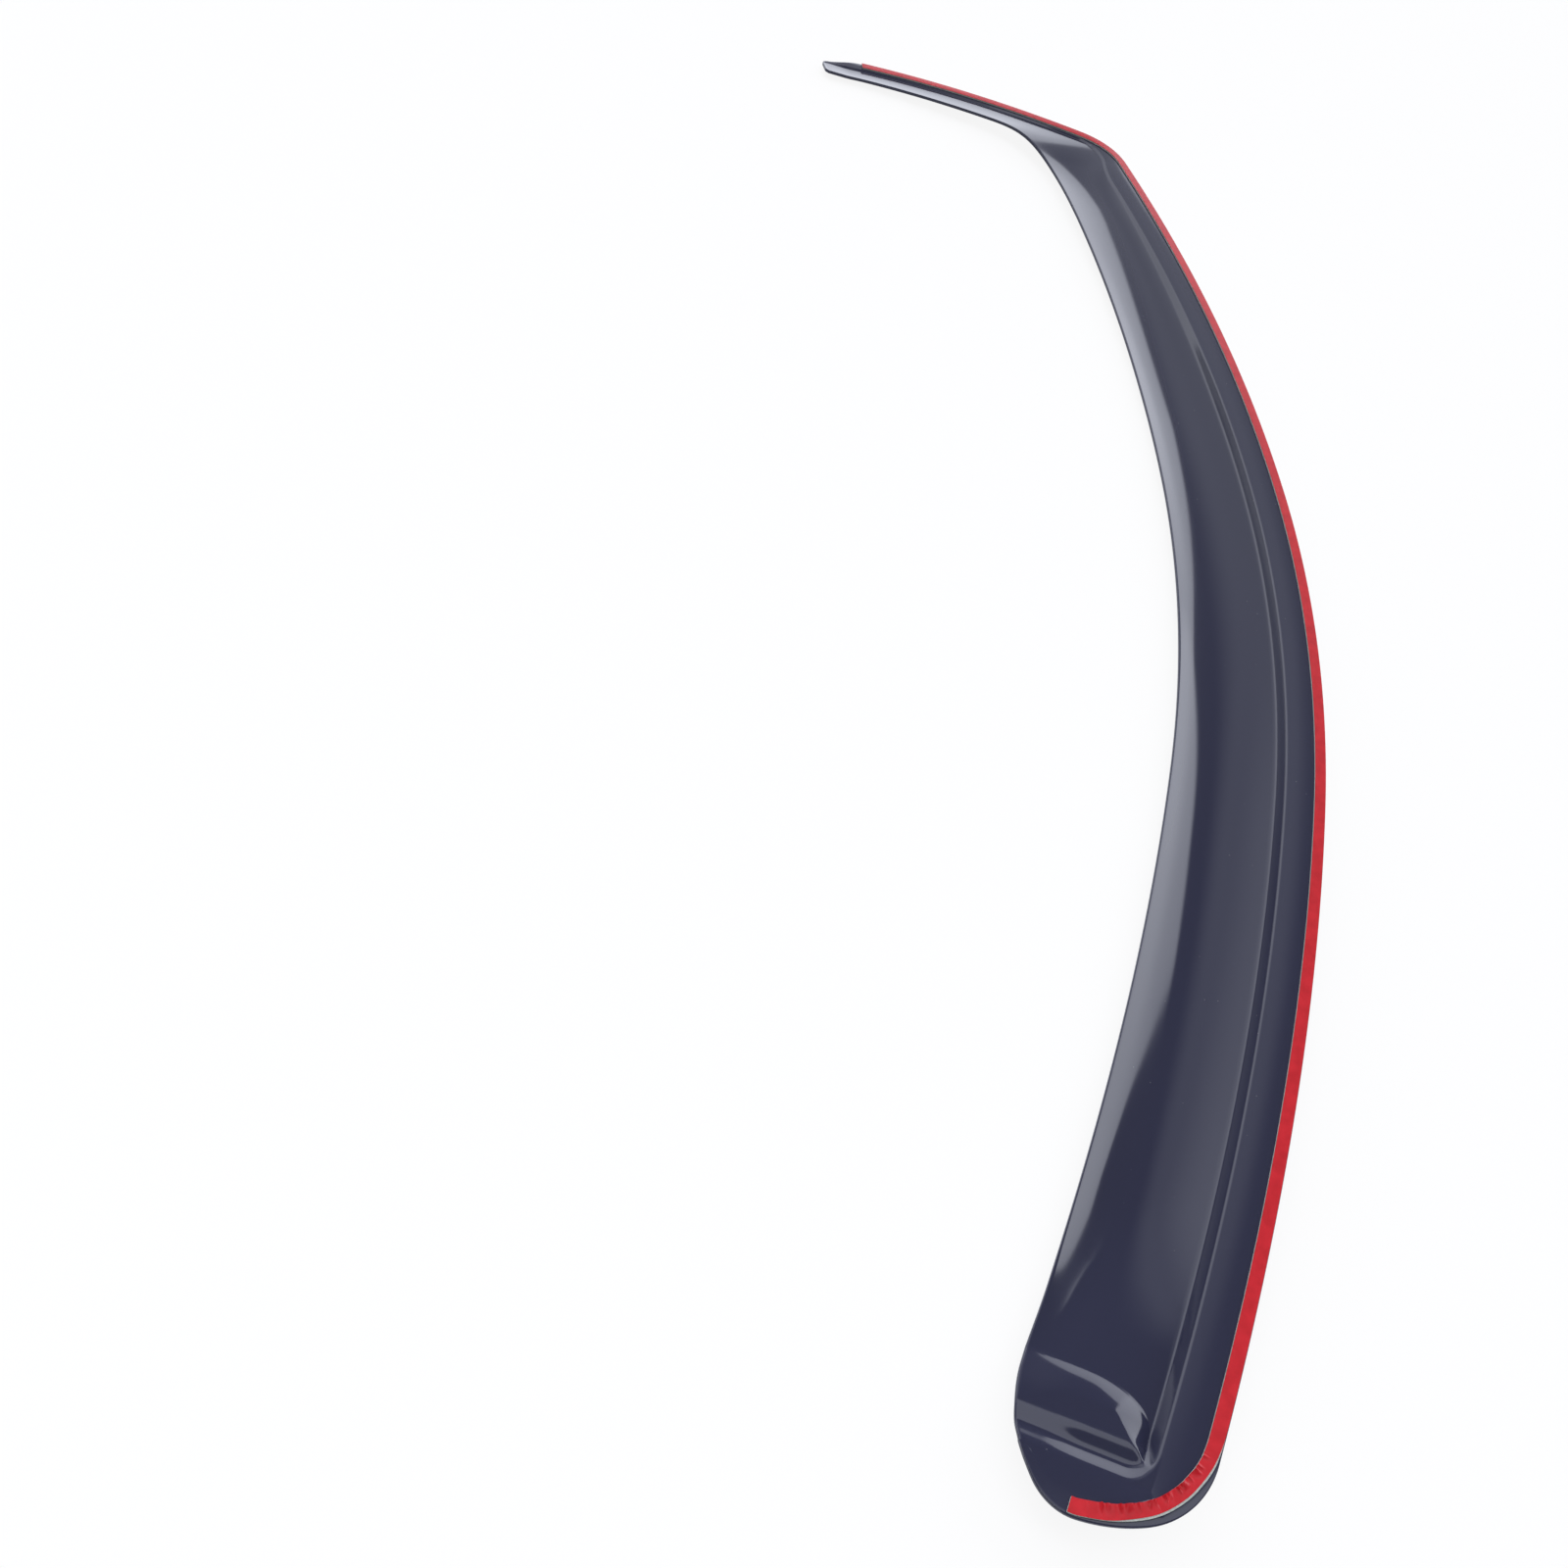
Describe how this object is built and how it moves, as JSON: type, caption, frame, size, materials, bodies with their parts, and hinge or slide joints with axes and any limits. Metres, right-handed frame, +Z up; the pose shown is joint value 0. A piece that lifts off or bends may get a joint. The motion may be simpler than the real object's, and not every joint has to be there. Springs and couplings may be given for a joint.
{
  "type": "window rain deflector",
  "caption": "Smoked side window rain deflector: a thin curved moulding with an adhesive flange round its outer edge, a shallow trough, a closed near end and a narrow arm.",
  "frame": {"origin": "centre of the footprint, on the surface the piece lies on", "axes": "+Z up from that surface, towards the taped side; +Y along the long side, from the closed near end to the arm; +X towards the taped outer edge"},
  "size_m": [0.4266, 1.095, 0.0272],
  "materials": {
    "smoked_acrylic": "polished, dark smoked",
    "foam": "matt foam",
    "liner_film": "satin film"
  },
  "bodies": {
    "root": {"visor": "smoked_acrylic", "foam_tape": "foam", "release_liner": "liner_film"}
  },
  "joints": []
}
